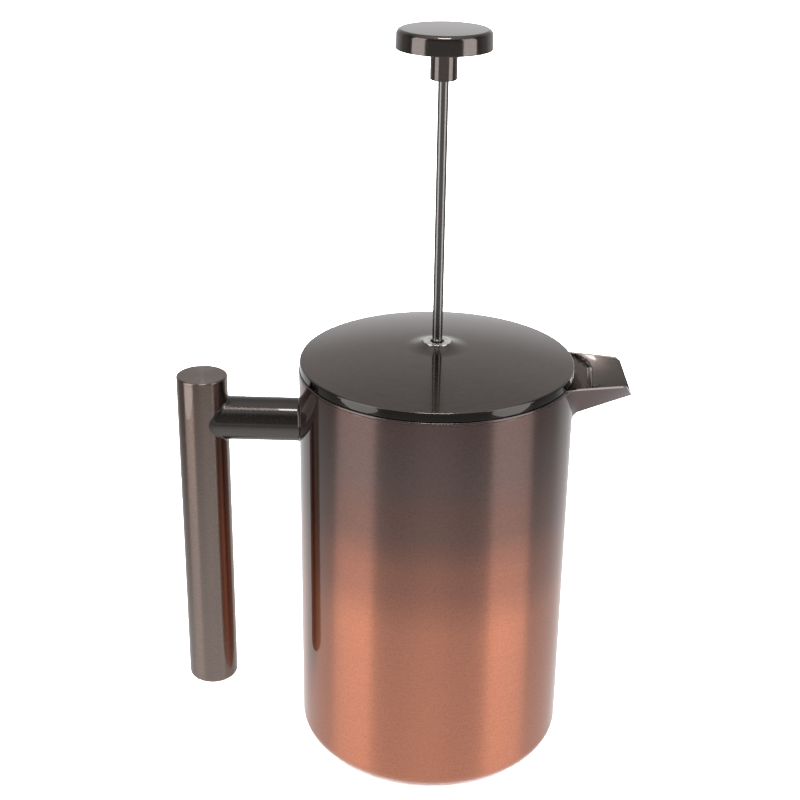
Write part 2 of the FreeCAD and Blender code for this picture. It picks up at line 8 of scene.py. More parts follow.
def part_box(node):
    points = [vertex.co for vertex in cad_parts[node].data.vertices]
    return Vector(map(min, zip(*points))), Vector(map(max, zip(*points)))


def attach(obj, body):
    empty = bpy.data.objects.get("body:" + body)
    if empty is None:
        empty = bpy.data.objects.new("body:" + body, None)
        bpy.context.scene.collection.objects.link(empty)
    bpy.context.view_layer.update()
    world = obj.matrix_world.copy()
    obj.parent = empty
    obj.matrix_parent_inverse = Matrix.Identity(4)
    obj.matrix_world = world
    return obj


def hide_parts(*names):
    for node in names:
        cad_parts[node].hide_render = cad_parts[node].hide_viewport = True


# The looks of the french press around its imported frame. Outlines are in millimetres, pairs of a radius and
# a height, and each finished mesh is scaled to metres. Angles that have a name are in degrees. The spout
# points along +X and the handle along -X.

MM = 0.001
# Divisions of a full turn for wide pieces, slim pieces and nuts, and of a small rounding.
BIG_RING = 288
SMALL_RING = 112
NUT_RING = 168
ARC_STEPS = 7
# Edges sharper than this stay sharp in the shading.
CREASE = 32
# A gap too small to see, and the distance within which two vertices are one.
HAIR = 0.05
MERGE = HAIR / 50

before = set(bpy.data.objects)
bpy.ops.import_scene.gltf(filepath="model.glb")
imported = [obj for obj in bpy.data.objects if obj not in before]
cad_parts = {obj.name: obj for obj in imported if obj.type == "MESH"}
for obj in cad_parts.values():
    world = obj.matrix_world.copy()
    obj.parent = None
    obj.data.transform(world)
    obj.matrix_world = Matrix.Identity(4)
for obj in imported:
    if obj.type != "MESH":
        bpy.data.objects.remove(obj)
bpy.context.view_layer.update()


def box_mm(node):
    low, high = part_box(node)
    return low / MM, high / MM


# Places that the frame gives.
BODY_R = box_mm("outer_shell")[1].y
RIM_TOP = box_mm("inner_liner")[1].z
LINER_FLOOR = box_mm("inner_liner")[0].z
LID_LOW, BOSS_HIGH = box_mm("lid_top")[0].z, box_mm("lid_top")[1].z
LID_R = box_mm("lid_top")[1].x
GRIP_LOW, GRIP_HIGH = box_mm("handle_grip")
GRIP_R = (GRIP_HIGH.y - GRIP_LOW.y) / 2
GRIP_X = (GRIP_HIGH.x + GRIP_LOW.x) / 2
GRIP_TOP = box_mm("handle_top_cap")[1].z
GRIP_FOOT = box_mm("handle_bottom_cap")[0].z
ARM_LOW, ARM_HIGH = box_mm("handle_arm")
ARM_R = (ARM_HIGH.y - ARM_LOW.y) / 2
ARM_Z = (ARM_HIGH.z + ARM_LOW.z) / 2
KNOB_LOW, KNOB_HIGH = box_mm("knob_cap")
COLLAR_LOW, COLLAR_HIGH = box_mm("knob_collar")
ROD_LOW, ROD_HIGH = box_mm("plunger_rod")
GUIDE_LOW, GUIDE_HIGH = box_mm("rod_guide")
SPRING_LOW, SPRING_HIGH = box_mm("edge_spring")
HUB_LOW, HUB_HIGH = box_mm("filter_hub")

# Sizes that the boxes don't give.
WALL = 1.0
SHEET_ROUND = 0.3

# The vessel and its handle.
BASE_ROUND = 6.5
BASE_HOLE_R = 46.0
LINER_R = 49.0
LINER_ROUND = 7.0
BORE_R = LINER_R - WALL
RIM_OUTER_ROUND = 0.42
RIM_INNER_ROUND = 0.6
FOOT_ROUND = 2.2
GRIP_TOP_ROUND = 0.7

# The lid: its side band, its shallow dome and the flared boss round the rod guide.
BAND_TOP = LID_LOW + 3.6
BAND_EDGE = 0.8
LID_LIP_ROUND = 0.25
DOME_RADIUS = 263.0
BOSS_BASE = 12.2
BOSS_TOP = 5.6
BOSS_FLARE = 20.0
GUIDE_HOLE_R = 3.65
GUIDE_SHANK_R = 3.6

# The plunger.
ROD_R = ROD_HIGH.x
NUT_PLAY = 0.02
KNOB_FOOT_R = KNOB_HIGH.x
KNOB_TOP_R = 17.55
KNOB_ROUND = 1.9
KNOB_CROWN = 0.12
COLLAR_R = COLLAR_HIGH.x
SPIGOT_R = COLLAR_R - 2

# The spout: a folded V whose half width and depth grow evenly from its tip towards the vessel.
SPOUT_TIP_X = 72.8
SPOUT_TIP_HALF = 15.9
SPOUT_TAPER = 0.228
SPOUT_KEEL_X = 77.2
SPOUT_TIP_DEPTH = 10.05
SPOUT_SLOPE = 0.42
SPOUT_CORNER = 2.0
SPOUT_SHEET = 1.15
SPOUT_FLARE = 2.6
SPOUT_KEEL_ROUND = 4.0
SPOUT_INNER_ROUND = 10.0
SPOUT_BEVEL = 0.32
SPOUT_BEVEL_ANGLE = 50
# How finely the spout's sheet is divided: along its sides, round the keel, along the trough, in the blend.
SIDE_STEPS = 10
KEEL_STEPS = 10
SPOUT_ROWS = 110
FLARE_ROWS = 9
# Rounds of repeated correction that find a place on the sheet.
RADIUS_ROUNDS = 6
LIP_ROUNDS = 8
# The throat is the wider start of the trough. Its edge runs out from the rim and then straight down.
THROAT_RIM_X = 52.5
THROAT_X = 60.0
THROAT_SHARE = 0.35
THROAT_CURVE = 1.3
THROAT_SUNK = 0.6
THROAT_STEP = 2.0
# The wedge that is cut out of the vessel's walls for it.
CUTTER_FROM = 40.0
CUTTER_TO = 60.0
CUTTER_ABOVE = 1.0


# ------------------------ outlines


def rounded(corners):
    """Corners of (radius, height, rounding) as an outline with an arc at each rounding."""
    outline = []
    for i, (across, up, rounding) in enumerate(corners):
        here = Vector((across, up))
        if rounding == 0:
            outline.append(here)
            continue
        before = (Vector(corners[i - 1][:2]) - here).normalized()
        after = (Vector(corners[(i + 1) % len(corners)][:2]) - here).normalized()
        half = before.angle(after) / 2
        centre = here + (before + after).normalized() * (rounding / math.sin(half))
        start = here + before * (rounding / math.tan(half)) - centre
        end = here + after * (rounding / math.tan(half)) - centre
        turn = -start.angle_signed(end)
        for step in range(ARC_STEPS + 1):
            outline.append(centre + Matrix.Rotation(turn * step / ARC_STEPS, 2) @ start)
    return outline


def bow(start, end, radius, steps):
    """Points after start up to end, along an arc that bulges to the left of the way, or to the right if the
    radius is negative."""
    start, end = Vector(start), Vector(end)
    chord = end - start
    reach = math.sqrt(radius ** 2 - (chord.length / 2) ** 2)
    left = Vector((-chord.y, chord.x)).normalized()
    centre = (start + end) / 2 - left * reach * math.copysign(1, radius)
    first = start - centre
    turn = -first.angle_signed(end - centre)
    return [centre + Matrix.Rotation(turn * (i + 1) / steps, 2) @ first for i in range(steps)]


# ------------------------ meshes


def turned_ring(bm, count, shape, axis_x=0.0):
    """Vertices round an upright axis. shape gives their radius and their height at an angle."""
    ring = []
    for i in range(count):
        angle = 2 * math.pi * i / count
        radius, height = shape(angle)
        place = (axis_x + radius * math.cos(angle), radius * math.sin(angle), height)
        ring.append(bm.verts.new(place))
    return ring


def lathe(outline, segments, axis_x=0.0, dent=None):
    """A closed outline turned about an upright axis. dent, if there is one, gives how far the surface is
    pressed in at an angle and a radius."""
    bm = bmesh.new()
    rings = []
    for radius, height in outline:
        if radius < HAIR / 10:
            rings.append([bm.verts.new((axis_x, 0, height))] * segments)
            continue

        def shape(angle):
            pressed = dent(angle, radius) if dent else 0.0
            return radius - pressed, height

        rings.append(turned_ring(bm, segments, shape, axis_x))
    stitch(bm, rings, around=True, along=True)
    return bm


def stitch(bm, rings, around, along):
    """Joins each ring of vertices to the next with faces. around closes each ring, along joins the last
    ring to the first."""
    count = len(rings[0])
    pairs = list(zip(rings, rings[1:]))
    if along:
        pairs.append((rings[-1], rings[0]))
    for ring, other in pairs:
        for i in range(count if around else count - 1):
            j = (i + 1) % count
            corners = []
            for vertex in (ring[i], ring[j], other[j], other[i]):
                if vertex not in corners:
                    corners.append(vertex)
            if len(corners) > 2:
                bm.faces.new(corners)


def add_object(name, data):
    """Puts a mesh, a light or a camera into the scene."""
    made = bpy.data.objects.new(name, data)
    bpy.context.scene.collection.objects.link(made)
    return made


def mesh_of(bm, name):
    """Turns a bmesh into a mesh and frees it."""
    mesh = bpy.data.meshes.new(name)
    bm.to_mesh(mesh)
    bm.free()
    return mesh


def solid_mesh_of(bm, name):
    """Turns a closed bmesh in millimetres into a mesh in metres whose faces look outwards."""
    bmesh.ops.recalc_face_normals(bm, faces=bm.faces)
    bm.transform(Matrix.Scale(MM, 4))
    return mesh_of(bm, name)


def shade_smooth(mesh, crease):
    """Smooth shading with sharp edges where the surface turns by more than the crease, in degrees."""
    mesh.polygons.foreach_set("use_smooth", [True] * len(mesh.polygons))
    mesh.set_sharp_from_angle(angle=math.radians(crease))


def add_piece(bm, name, body, material, nodes, crease=CREASE, weighted=True):
    """Turns a bmesh in millimetres into a smooth piece that rides on a body."""
    mesh = solid_mesh_of(bm, name)
    shade_smooth(mesh, crease)
    piece = add_object(name, mesh)
    mesh.materials.append(material)
    if weighted:
        weigh_normals(piece)
    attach(piece, body)
    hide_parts(*nodes)
    return piece


def weigh_normals(piece):
    """Lets the large faces rule the shading, so that small roundings don't bend it."""
    modifier = piece.modifiers.new("weighted_normals", "WEIGHTED_NORMAL")
    modifier.keep_sharp = True
    modifier.weight = 80


def cut_away(piece, cutter_bm):
    """Cuts a closed bmesh out of a piece for good."""
    cutter = add_object("cutter", solid_mesh_of(cutter_bm, "cutter"))
    weighting = list(piece.modifiers)
    for modifier in weighting:
        modifier.show_viewport = False
    boolean = piece.modifiers.new("cut", "BOOLEAN")
    boolean.operation = "DIFFERENCE"
    boolean.solver = "EXACT"
    boolean.object = cutter
    bpy.context.view_layer.update()
    evaluated = piece.evaluated_get(bpy.context.evaluated_depsgraph_get())
    result = bpy.data.meshes.new_from_object(evaluated)
    piece.modifiers.remove(boolean)
    piece.data = result
    shade_smooth(result, CREASE)
    for modifier in weighting:
        modifier.show_viewport = True
    bpy.data.objects.remove(cutter)


# ------------------------ materials


def new_material(name):
    material = bpy.data.materials.new(name)
    material.use_nodes = True
    tree = material.node_tree
    return material, tree, tree.nodes["Principled BSDF"]


def node(tree, kind, **settings):
    made = tree.nodes.new("ShaderNode" + kind)
    for key, value in settings.items():
        setattr(made, key, value)
    return made


def object_place(tree, scale):
    """The place on the object, stretched by a scale per axis in cycles per metre."""
    place = node(tree, "TexCoord")
    mapping = node(tree, "Mapping")
    mapping.inputs["Scale"].default_value = scale
    tree.links.new(place.outputs["Object"], mapping.inputs["Vector"])
    return mapping.outputs["Vector"]


def noise(tree, scale, detail):
    made = node(tree, "TexNoise")
    made.inputs["Scale"].default_value = 1.0
    made.inputs["Detail"].default_value = detail
    made.inputs["Roughness"].default_value = 0.6
    tree.links.new(object_place(tree, scale), made.inputs["Vector"])
    return made.outputs["Fac"]


def spread(tree, value, low, high, from_low=0.3, from_high=0.7):
    """Maps a value, such as a noise that lies mostly between 0.3 and 0.7, onto low to high."""
    ranged = node(tree, "MapRange")
    ranged.inputs["From Min"].default_value = from_low
    ranged.inputs["From Max"].default_value = from_high
    ranged.inputs["To Min"].default_value = low
    ranged.inputs["To Max"].default_value = high
    tree.links.new(value, ranged.inputs["Value"])
    return ranged.outputs["Result"]


def sway(tree, value, middle, amount):
    """Maps a noise value onto a middle, give or take an amount."""
    return spread(tree, value, middle - amount, middle + amount)


def math_node(tree, operation, one, other):
    made = node(tree, "Math", operation=operation)
    tree.links.new(one, made.inputs[0])
    tree.links.new(other, made.inputs[1])
    return made.outputs[0]


def times(tree, colour, factor):
    """A colour with its brightness multiplied by a value."""
    scaled = node(tree, "VectorMath", operation="SCALE")
    tree.links.new(colour, scaled.inputs[0])
    tree.links.new(factor, scaled.inputs["Scale"])
    return scaled.outputs["Vector"]


def ramp(tree, value, stops, interpolation="LINEAR"):
    made = node(tree, "ValToRGB")
    made.color_ramp.interpolation = interpolation
    elements = made.color_ramp.elements
    while len(elements) < len(stops):
        elements.new(0.5)
    for element, (place, colour) in zip(elements, stops):
        element.position = place
        element.color = (*colour, 1.0)
    tree.links.new(value, made.inputs["Fac"])
    return made.outputs["Color"]


def bump(tree, shader, height, strength, distance_mm):
    made = node(tree, "Bump")
    made.inputs["Strength"].default_value = strength
    made.inputs["Distance"].default_value = distance_mm * MM
    tree.links.new(height, made.inputs["Height"])
    tree.links.new(made.outputs["Normal"], shader.inputs["Normal"])


# Scales of the noises in cycles per metre, and how much each one changes the colour or the roughness.
BRUSH_FINE = 3600.0
BRUSH_LONG = 110.0
BRUSH_TINT = 0.07
BRUSH_ROUGH = 0.03
BRUSH_DEEP_MM = 0.004
DRIFT_SCALE = (9.0, 9.0, 14.0)
DRIFT = 0.012
FLAKE_SCALE = (1300.0, 1300.0, 1300.0)
FLAKE_TINT = 0.08
SMUDGE_SCALE = (60.0, 60.0, 60.0)
SMUDGE_TINT = 0.03
# Bare steel's darkest and lightest hairlines, and its smoothest and roughest smudges, as shares of its own.
STEEL_DARKEST = 0.92
STEEL_LIGHTEST = 1.06
STEEL_SMOOTHEST = 0.85
STEEL_ROUGHEST = 1.2
THREAD_SCALE = (700.0, 700.0, 700.0)


def brush_scale(axis):
    """The scale of a noise that runs round an axis in long hairlines."""
    scale = [BRUSH_LONG, BRUSH_LONG, BRUSH_LONG]
    scale["XYZ".index("Z" if axis == "vessel" else axis)] = BRUSH_FINE
    return scale


def tangent_round(tree, axis):
    """The way round an axis through the middle of the piece, or round the vessel's own axis."""
    if axis != "vessel":
        return node(tree, "Tangent", direction_type="RADIAL", axis=axis).outputs[0]
    place = node(tree, "TexCoord")
    around = node(tree, "VectorMath", operation="CROSS_PRODUCT")
    around.inputs[0].default_value = (0.0, 0.0, 1.0)
    tree.links.new(place.outputs["Object"], around.inputs[1])
    return around.outputs["Vector"]


def metal_shader(shader, roughness, stretch, coat, edge=(0.9, 0.9, 0.9)):
    shader.inputs["Metallic"].default_value = 1.0
    shader.inputs["Specular Tint"].default_value = (*edge, 1.0)
    shader.inputs["Roughness"].default_value = roughness
    shader.inputs["Anisotropic"].default_value = stretch
    shader.inputs["Anisotropic Rotation"].default_value = 0.25
    shader.inputs["Coat Weight"].default_value = coat
    shader.inputs["Coat Roughness"].default_value = 0.02
    shader.inputs["Coat IOR"].default_value = 1.5


def brushed_lacquer(name, stops, height, roughness, stretch, axis, depth=0.35, coat=1.0):
    """Brushed steel under clear coloured lacquer. stops colour it by the share of a range of height, and its
    hairlines run round the axis."""
    material, tree, shader = new_material(name)
    metal_shader(shader, roughness, stretch, coat, (0.25, 0.23, 0.22))
    place = node(tree, "TexCoord")
    split = node(tree, "SeparateXYZ")
    tree.links.new(place.outputs["Object"], split.inputs[0])
    share = spread(tree, split.outputs["Z"], 0.0, 1.0, height[0] * MM, height[1] * MM)
    drift = sway(tree, noise(tree, DRIFT_SCALE, 2.0), 0.0, DRIFT)
    colour = ramp(tree, math_node(tree, "ADD", share, drift), stops, "EASE")
    brush = noise(tree, brush_scale(axis), 4.0)
    flake = noise(tree, FLAKE_SCALE, 1.0)
    colour = times(tree, colour, sway(tree, brush, 1.0, BRUSH_TINT))
    colour = times(tree, colour, sway(tree, flake, 1.0, FLAKE_TINT))
    tree.links.new(colour, shader.inputs["Base Color"])
    tree.links.new(sway(tree, brush, roughness, BRUSH_ROUGH), shader.inputs["Roughness"])
    bump(tree, shader, brush, depth, BRUSH_DEEP_MM)
    tree.links.new(tangent_round(tree, axis), shader.inputs["Tangent"])
    return material


def steel(name, colour, roughness, stretch=0.0):
    """Bare steel with hairlines round the upright axis."""
    material, tree, shader = new_material(name)
    metal_shader(shader, roughness, stretch, 0.0)
    brush = noise(tree, brush_scale("Z"), 4.0)
    smudge = noise(tree, SMUDGE_SCALE, 3.0)
    base = node(tree, "RGB")
    base.outputs[0].default_value = (*colour, 1.0)
    tinted = times(tree, base.outputs[0], spread(tree, brush, STEEL_DARKEST, STEEL_LIGHTEST))
    tinted = times(tree, tinted, sway(tree, smudge, 1.0, SMUDGE_TINT))
    tree.links.new(tinted, shader.inputs["Base Color"])
    rough = spread(tree, smudge, roughness * STEEL_SMOOTHEST, roughness * STEEL_ROUGHEST)
    tree.links.new(rough, shader.inputs["Roughness"])
    bump(tree, shader, brush, strength=0.2, distance_mm=BRUSH_DEEP_MM)
    if stretch:
        tree.links.new(tangent_round(tree, "Z"), shader.inputs["Tangent"])
    return material


def woven_mesh(name):
    """Fine wire cloth."""
    material, tree, shader = new_material(name)
    metal_shader(shader, roughness=0.42, stretch=0.0, coat=0.0)
    threads = []
    for direction in ("X", "Y"):
        wave = node(tree, "TexWave", wave_type="BANDS", bands_direction=direction, wave_profile="SIN")
        wave.inputs["Scale"].default_value = 1.0
        tree.links.new(object_place(tree, THREAD_SCALE), wave.inputs["Vector"])
        threads.append(wave.outputs["Fac"])
    crossing = math_node(tree, "MAXIMUM", *threads)
    shade = ramp(tree, crossing, [(0.25, (0.05, 0.05, 0.05)), (0.8, (0.62, 0.6, 0.57))])
    tree.links.new(shade, shader.inputs["Base Color"])
    bump(tree, shader, crossing, strength=0.8, distance_mm=0.15)
    return material


# Colours are linear red, green and blue.
GUNMETAL = (0.152, 0.099, 0.089)
COPPER = (0.550, 0.190, 0.100)
# The body's colour from its foot, a share of 0, to its rim, a share of 1.
OMBRE = [
    (0.00, COPPER),
    (0.42, (0.550, 0.196, 0.106)),
    (0.57, (0.355, 0.138, 0.086)),
    (0.72, (0.195, 0.099, 0.077)),
    (0.88, GUNMETAL),
    (1.00, GUNMETAL),
]
DARK = (0.122, 0.098, 0.088)
# Painted shade: the lid's side band, a much darker copy of the lid's lacquer.
BAND_PAINTED_SHADE = (0.030, 0.024, 0.021)
# Painted light and shade: the handle's one lacquer is made lighter on the grip and much darker on the arm.
GRIP_PAINTED_LIGHT_TONE = (0.195, 0.142, 0.120)
ARM_PAINTED_SHADE_TONE = (0.055, 0.044, 0.040)
KNOB_DARK = (0.098, 0.078, 0.070)
SPOUT_DARK = (0.135, 0.080, 0.072)
# Painted shade: the inside of the spout is darker than its outside, and darkest in the throat by the vessel.
TROUGH_PAINTED_SHADE = (0.075, 0.060, 0.054)
THROAT_PAINTED_SHADE = (0.048, 0.036, 0.031)
# Painted highlight: a pale colour on the spout's top edges, its bevels and the throat's step.
PAINTED_HIGHLIGHT_TONE = (0.780, 0.700, 0.660)
RIM_EDGE = (0.090, 0.075, 0.068)


def plain(colour):
    """One colour at every height."""
    return [(0.0, colour), (1.0, colour)]


# The shares of the lid's height where its side band ends and where the dome's colour begins. The band is the
# same lacquer as the dome, made much darker as painted shade.
BAND_SHARE = 0.30
DOME_SHARE = 0.36
LID_COLOURS_WITH_SHADED_BAND = [(0.0, BAND_PAINTED_SHADE), (BAND_SHARE, BAND_PAINTED_SHADE), (DOME_SHARE, DARK), (1.0, DARK)]

# After the colours and their heights: roughness, stretch of the gloss, axis of the brushing, and its depth.
BODY_FINISH = brushed_lacquer("ombre_lacquer_finish", OMBRE, (0, RIM_TOP), 0.36, 1.0, "Z")
COPPER_FINISH = brushed_lacquer("copper_lacquer_finish", plain(COPPER), (0, 1), 0.3, 0.6, "Z")
# The grip's finish carries painted light and the arm's carries painted shade, both copies of one handle
# lacquer.
GRIP_LIT_FINISH = brushed_lacquer("grip_painted_light_lacquer_finish", plain(GRIP_PAINTED_LIGHT_TONE), (0, RIM_TOP), 0.34, 0.95, "Z")
ARM_SHADED_FINISH = brushed_lacquer("arm_painted_shade_lacquer_finish", plain(ARM_PAINTED_SHADE_TONE), (0, RIM_TOP), 0.26, 0.9, "X", 0.04)
LID_FINISH = brushed_lacquer("lid_lacquer_finish", LID_COLOURS_WITH_SHADED_BAND, (LID_LOW, BOSS_HIGH), 0.22, 0.4, "Z", 0.15)
KNOB_FINISH = brushed_lacquer("knob_lacquer_finish", plain(KNOB_DARK), (0, RIM_TOP), 0.17, 0.4, "Z", 0.2)
SPOUT_OUTSIDE = brushed_lacquer(
    "spout_outside_finish", plain(SPOUT_DARK), (0, RIM_TOP), 0.36, 1.0, "vessel", coat=0.5
)
TROUGH_SHADE_FINISH = brushed_lacquer("spout_trough_painted_shade_finish", plain(TROUGH_PAINTED_SHADE), (0, 1), 0.17, 0.0, "Z", 0.05)
THROAT_SHADE_FINISH = brushed_lacquer("spout_throat_painted_shade_finish", plain(THROAT_PAINTED_SHADE), (0, 1), 0.4, 0.0, "Z", 0.2)
PAINTED_HIGHLIGHT_FINISH = brushed_lacquer("spout_edge_painted_highlight_finish", plain(PAINTED_HIGHLIGHT_TONE), (0, 1), 0.3, 0.0, "Z", 0.1)
RIM_FINISH = brushed_lacquer("rim_edge_finish", plain(RIM_EDGE), (0, 1), 0.25, 0.0, "Z", 0.1)
BRIGHT_STEEL = steel("bright_steel_finish", (0.21, 0.20, 0.195), 0.2, 0.8)
RING_STEEL = steel("ring_steel_finish", (0.72, 0.70, 0.68), 0.22)
PLAIN_STEEL = steel("plain_steel_finish", (0.55, 0.54, 0.52), 0.26, 0.5)
WOVEN = woven_mesh("woven_mesh_finish")


# ------------------------ vessel


def wedge_section(x, inset):
    """Half width and depth of the spout's triangular section at x, inset by a thickness."""
    half = SPOUT_TIP_HALF + (SPOUT_TIP_X - x) * SPOUT_TAPER
    depth = SPOUT_TIP_DEPTH + (SPOUT_KEEL_X - x) * SPOUT_SLOPE
    slant = math.hypot(half, depth)
    return half - inset * slant / depth, depth - inset * slant / half


def throat_cutter():
    """The wedge that the throat takes out of the vessel's two walls, reaching a little above the rim."""
    bm = bmesh.new()
    top = RIM_TOP + CUTTER_ABOVE
    sections = []
    for x in (CUTTER_FROM, CUTTER_TO):
        half, depth = wedge_section(x, -THROAT_SUNK / 2)
        grow = 1 + CUTTER_ABOVE / depth
        places = [(x, -half * grow, top), (x, 0, RIM_TOP - depth), (x, half * grow, top)]
        sections.append([bm.verts.new(place) for place in places])
    stitch(bm, sections, around=True, along=False)
    for section in sections:
        bm.faces.new(section)
    return bm


def make_shell():
    """The outer wall, turned in under the foot."""
    foot = BODY_R - BASE_ROUND
    inside = BODY_R - WALL
    top = RIM_TOP - WALL
    rows = 8
    row_step = 3
    outline = [Vector((BODY_R, top - row_step * i)) for i in range(rows)]
    outline += [Vector((BODY_R, BASE_ROUND))]
    outline += bow((BODY_R, BASE_ROUND), (foot, 0), BASE_ROUND, steps=14)
    outline += rounded(
        [
            (foot, 0, 0),
            (BASE_HOLE_R, 0, SHEET_ROUND),
            (BASE_HOLE_R, WALL, SHEET_ROUND),
            (foot, WALL, 0),
            (inside, WALL, 0),
        ]
    )[1:-1]
    outline += bow((foot, WALL), (inside, BASE_ROUND), -(BASE_ROUND - WALL), steps=8)
    outline += [Vector((inside, top - row_step * rows)), Vector((inside, top))]
    piece = add_piece(
        lathe(outline, BIG_RING), "body_shell", "vessel", BODY_FINISH, ("outer_shell",)
    )
    cut_away(piece, throat_cutter())


def make_liner():
    """The inner cup, whose flange is the vessel's rim."""
    low = LINER_FLOOR
    foot = LINER_R - LINER_ROUND
    shelf = RIM_TOP - WALL
    outline = [Vector((0, low)), Vector((foot, low))]
    outline += bow((foot, low), (LINER_R, low + LINER_ROUND), -LINER_ROUND, steps=12)
    outline += rounded(
        [
            (LINER_R, low + LINER_ROUND, 0),
            (LINER_R, shelf, 0),
            (BODY_R, shelf, SHEET_ROUND),
            (BODY_R, RIM_TOP, RIM_OUTER_ROUND),
            (BORE_R, RIM_TOP, RIM_INNER_ROUND),
            (BORE_R, low + LINER_ROUND, 0),
        ]
    )[1:]
    outline += bow((BORE_R, low + LINER_ROUND), (foot, low + WALL), LINER_ROUND - WALL, steps=12)
    outline += [Vector((0, low + WALL))]
    piece = add_piece(
        lathe(outline, BIG_RING), "inner_cup", "vessel", PLAIN_STEEL, ("inner_liner",)
    )
    cut_away(piece, throat_cutter())
    piece.data.materials.append(BODY_FINISH)
    piece.data.materials.append(RIM_FINISH)
    for face in piece.data.polygons:
        face.material_index = rim_finish(face.center / MM)


# The liner's finishes, in their order on its mesh.
CUP, FLANGE, FLANGE_EDGE = range(3)


def rim_finish(place):
    """Which finish the liner has at a place."""
    reach = place.xy.length
    on_flange = place.z > RIM_TOP - 1.5 * WALL and reach > BORE_R + 0.7
    on_outer_edge = place.z > RIM_TOP - RIM_OUTER_ROUND and reach > BODY_R - 0.6
    if not on_flange:
        return CUP
    return FLANGE_EDGE if on_outer_edge else FLANGE


def spout_path(x, inset, keel_round):
    """The section of the spout's sheet at x: from the far lip down round the keel to the near lip."""
    half, depth = wedge_section(x, inset)
    lip = Vector((half, RIM_TOP))
    keel = Vector((0, RIM_TOP - depth))
    slope = (lip - keel).normalized()
    bend = math.atan2(slope.x, slope.y)
    reach = keel_round * math.tan(math.pi / 2 - bend)
    rise = keel_round / math.sin(bend)
    far_side = [lip.lerp(keel + slope * reach, i / SIDE_STEPS) for i in range(SIDE_STEPS)]
    arc = []
    for i in range(KEEL_STEPS + 1):
        angle = (math.pi / 2 - bend) * (1 - 2 * i / KEEL_STEPS)
        aside = keel_round * math.sin(angle)
        up = keel.y + rise - keel_round * math.cos(angle)
        arc.append(Vector((aside, up)))
    near_side = [Vector((-place.x, place.y)) for place in reversed(far_side)]
    return far_side + arc + near_side


def lip_end(height):
    """Where the spout's sheet ends at a height: a raked line with a round upper corner."""
    run = SPOUT_KEEL_X - SPOUT_TIP_X
    down = RIM_TOP - height
    raked = SPOUT_TIP_X + run * down / SPOUT_TIP_DEPTH
    rake = math.hypot(run, SPOUT_TIP_DEPTH)
    tangent = SPOUT_CORNER * (rake - run) / SPOUT_TIP_DEPTH
    if down < tangent * SPOUT_TIP_DEPTH / rake:
        up = height - (RIM_TOP - SPOUT_CORNER)
        return SPOUT_TIP_X - tangent + math.sqrt(max(SPOUT_CORNER ** 2 - up ** 2, 0))
    return raked


def throat_edge(height):
    """Where the throat's edge lies along X at a height."""
    share = (RIM_TOP - height) / SPOUT_TIP_DEPTH
    back = max(0.0, 1 - share / THROAT_SHARE) ** THROAT_CURVE
    return THROAT_X - (THROAT_X - THROAT_RIM_X) * back


def throat_share(place):
    """1 in the throat, 0 in the trough and a smooth blend over the step between them."""
    way = (place.x - throat_edge(place.z)) / THROAT_STEP
    way = min(max(way, 0.0), 1.0)
    return 1 - way * way * (3 - 2 * way)


def x_at_radius(index, radius, inset, keel_round):
    """Where along X a line of the sheet is at a radius from the vessel's axis."""
    x = radius
    for _ in range(RADIUS_ROUNDS):
        x = math.sqrt(radius ** 2 - spout_path(x, inset, keel_round)[index].x ** 2)
    return x


def spout_line(index, inset, keel_round, root_r, flare, sunk=0.0):
    """The points of one line along the sheet, from the vessel to the lip. flare is the radius of the blend
    into the vessel's wall, and sunk is how much further out the throat lies."""

    def at(x, more=0.0):
        place = spout_path(x, inset - more, keel_round)[index]
        return Vector((x, place.x, place.y))

    def at_radius(radius):
        return at(x_at_radius(index, radius, inset - sunk, keel_round), sunk)

    line = []
    for i in range(FLARE_ROWS):
        angle = math.pi / 2 * (1 - i / FLARE_ROWS)
        radius = root_r + flare * (1 - math.sin(angle)) - HAIR * (i == 0)
        place = at_radius(radius)
        if flare:
            aside = sideways(index, place, inset, keel_round)
            place = place + aside * flare * (1 - math.cos(angle))
            shrink = radius / math.hypot(place.x, place.y)
            place = Vector((place.x * shrink, place.y * shrink, min(place.z, RIM_TOP)))
        line.append(place)
    start = at_radius(root_r + flare).x
    end = start
    for _ in range(LIP_ROUNDS):
        end = lip_end(at(end).z)
    for i in range(SPOUT_ROWS + 1):
        x = start + (end - start) * i / SPOUT_ROWS
        line.append(at(x, sunk * throat_share(at(x))))
    return line


def sideways(index, place, inset, keel_round):
    """The way along the vessel's wall that leads straight off the sheet's outer face."""
    path = spout_path(place.x, inset, keel_round)
    before = path[max(index - 1, 0)]
    after = path[min(index + 1, len(path) - 1)]
    along = after - before
    outward = Vector((0, -along.y, along.x)).normalized()
    if outward.z > 0:
        outward = -outward
    wall = Vector((place.x, place.y, 0)).normalized()
    return (outward - wall * outward.dot(wall)).normalized()


def inside_wall(index, keel_round, inset, radius):
    """A point of a line of the sheet at a radius inside the vessel's walls, just under the rim's top."""
    x = x_at_radius(index, radius, inset, keel_round)
    place = spout_path(x, inset, keel_round)[index]
    return Vector((x, place.x, min(place.y, RIM_TOP - HAIR)))


def outer_line(index):
    """One line along the spout's outer face, from between the vessel's walls to the lip."""
    root = [
        inside_wall(index, SPOUT_KEEL_ROUND, -THROAT_SUNK, radius)
        for radius in (LINER_R + 4 * HAIR, BODY_R - WALL)
    ]
    return root + spout_line(index, 0, SPOUT_KEEL_ROUND, BODY_R, SPOUT_FLARE)


